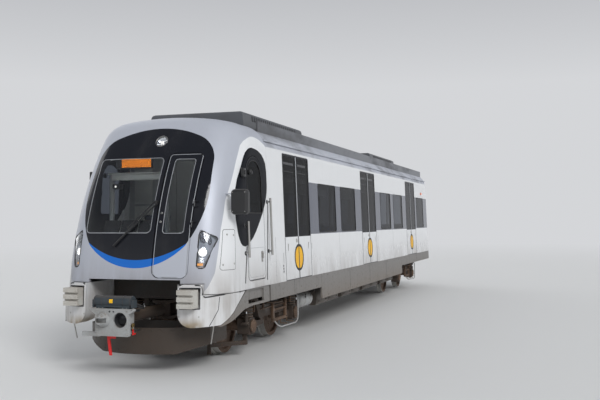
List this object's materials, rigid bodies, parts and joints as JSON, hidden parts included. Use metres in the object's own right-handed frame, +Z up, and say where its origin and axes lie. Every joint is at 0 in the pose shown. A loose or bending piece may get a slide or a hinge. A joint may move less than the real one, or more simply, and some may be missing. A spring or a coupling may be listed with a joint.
{
  "type": "metro train car",
  "caption": "Full-size metro driving car with hollow cab and saloon, hinged cab doors, swinging coupler and two yawing bogies with turning wheelsets.",
  "frame": {"origin": "on the ground line of the wheel flanges, under the middle of the coupled length", "axes": "+X forward along the car, +Y to the car's left, +Z up"},
  "size_m": [17.71, 2.8271, 3.7878],
  "materials": {
    "silver_paint": "satin silver-grey paint",
    "white_paint": "gloss white paint with light road dirt",
    "black_mask": "gloss black panel",
    "tinted_glass": "tinted safety glass",
    "lamp_glass": "clear lens",
    "display_black": "matt black case",
    "black_plastic": "matt black",
    "rail_steel": "brushed",
    "grey_casting": "dusty grey paint",
    "dirty_steel": "grey-brown paint with road dirt",
    "coupler_grey": "light grey paint, scuffed",
    "cover_grey": "dark grey cover",
    "red_paint": "red paint",
    "skirt_grey": "brown-grey paint with dust",
    "case_grey": "grey paint with dust",
    "tank_grey": "light grey paint, dusty",
    "roof_grey": "satin grey paint",
    "bellows_black": "matt folded rubber cloth",
    "interior_grey": "light grey laminate",
    "bench_plastic": "moulded plastic",
    "desk_plastic": "textured",
    "seat_fabric": "woven cloth",
    "bogie_brown": "brake dust and rust film over paint",
    "spring_rubber": "dusty",
    "wheel_steel": "rolled tread, dusty web"
  },
  "bodies": {
    "carbody": {"cab_shell": "silver_paint", "front_mask": "black_mask", "windscreen": "tinted_glass", "lamp_lenses": "lamp_glass", "destination_display": "display_black", "wiper": "black_plastic", "cab_handrails": "rail_steel", "front_bumper": "white_paint", "anti_climbers": "grey_casting", "headstock": "dirty_steel", "coupler_anchor": "dirty_steel", "snow_plough": "dirty_steel", "floor_frame": "dirty_steel", "side_skirts": "skirt_grey", "equipment_cases": "case_grey", "air_tank": "tank_grey", "left_side_wall": "white_paint", "right_side_wall": "white_paint", "saloon_windows": "tinted_glass", "left_door_leaves": "white_paint", "right_door_leaves": "white_paint", "saloon_door_glass": "tinted_glass", "roof_shell": "roof_grey", "roof_pods": "roof_grey", "rear_end_wall": "white_paint", "gangway": "bellows_black", "rear_drawbar": "dirty_steel", "cab_bulkhead": "interior_grey", "passenger_benches": "bench_plastic", "grab_poles": "rail_steel", "driver_desk": "desk_plastic", "driver_seat": "seat_fabric"},
    "front_door": {"front_door": "silver_paint", "front_door_glass": "tinted_glass"},
    "cab_door_left": {"cab_door_left": "white_paint", "cab_window_left": "tinted_glass"},
    "cab_door_right": {"cab_door_right": "white_paint", "cab_window_right": "tinted_glass"},
    "bulkhead_door": {"bulkhead_door": "interior_grey"},
    "mirror_left": {"mirror_left": "black_plastic"},
    "coupler": {"coupler_head": "coupler_grey", "coupler_shank": "dirty_steel", "coupler_cover": "cover_grey", "uncoupling_lever": "red_paint"},
    "front_bogie": {"front_bogie_frame": "bogie_brown", "front_axleboxes": "bogie_brown", "front_primary_springs": "spring_rubber", "front_traction_motors": "bogie_brown", "front_air_springs": "spring_rubber"},
    "rear_bogie": {"rear_bogie_frame": "bogie_brown", "rear_axleboxes": "bogie_brown", "rear_primary_springs": "spring_rubber", "rear_traction_motors": "bogie_brown", "rear_air_springs": "spring_rubber"},
    "wheelset_1": {"wheelset_1": "wheel_steel"},
    "wheelset_2": {"wheelset_2": "wheel_steel"},
    "wheelset_3": {"wheelset_3": "wheel_steel"},
    "wheelset_4": {"wheelset_4": "wheel_steel"}
  },
  "joints": [
    {"name": "front_bogie_yaw", "type": "hinge", "parent": "carbody", "child": "front_bogie", "pos_m": [5.42, 0, 0.628], "axis": [0, 0, 1], "range_deg": [-5, 5]},
    {"name": "rear_bogie_yaw", "type": "hinge", "parent": "carbody", "child": "rear_bogie", "pos_m": [-5.88, 0, 0.628], "axis": [0, 0, 1], "range_deg": [-5, 5]},
    {"name": "coupler_swing", "type": "hinge", "parent": "carbody", "child": "coupler", "pos_m": [7.37, 0, 0.78], "axis": [0, 0, 1], "range_deg": [-12, 12]},
    {"name": "front_door_hinge", "type": "hinge", "parent": "carbody", "child": "front_door", "pos_m": [8.03731, 0.798, 2.15399], "axis": [-0.3114, 0, 0.9503], "range_deg": [0, 90]},
    {"name": "cab_door_left_hinge", "type": "hinge", "parent": "carbody", "child": "cab_door_left", "pos_m": [6.465, 1.19376, 1.478], "axis": [0, -0.0381, 0.9993], "range_deg": [-85, 0]},
    {"name": "cab_door_right_hinge", "type": "hinge", "parent": "carbody", "child": "cab_door_right", "pos_m": [6.465, -1.19376, 1.478], "axis": [0, 0.0381, 0.9993], "range_deg": [0, 85]},
    {"name": "bulkhead_door_hinge", "type": "hinge", "parent": "carbody", "child": "bulkhead_door", "pos_m": [6.236, 0.33, 1.378], "axis": [0, 0, 1], "range_deg": [-90, 0]},
    {"name": "mirror_left_fold", "type": "hinge", "parent": "carbody", "child": "mirror_left", "pos_m": [7.66, 1.289, 2.318], "axis": [0, 0, 1], "range_deg": [0, 85]},
    {"name": "wheelset_1_roll", "type": "hinge", "parent": "front_bogie", "child": "wheelset_1", "pos_m": [6.445, 0, 0.453], "axis": [0, 1, 0], "continuous": true},
    {"name": "wheelset_2_roll", "type": "hinge", "parent": "front_bogie", "child": "wheelset_2", "pos_m": [4.395, 0, 0.453], "axis": [0, 1, 0], "continuous": true},
    {"name": "wheelset_3_roll", "type": "hinge", "parent": "rear_bogie", "child": "wheelset_3", "pos_m": [-4.855, 0, 0.453], "axis": [0, 1, 0], "continuous": true},
    {"name": "wheelset_4_roll", "type": "hinge", "parent": "rear_bogie", "child": "wheelset_4", "pos_m": [-6.905, 0, 0.453], "axis": [0, 1, 0], "continuous": true}
  ]
}
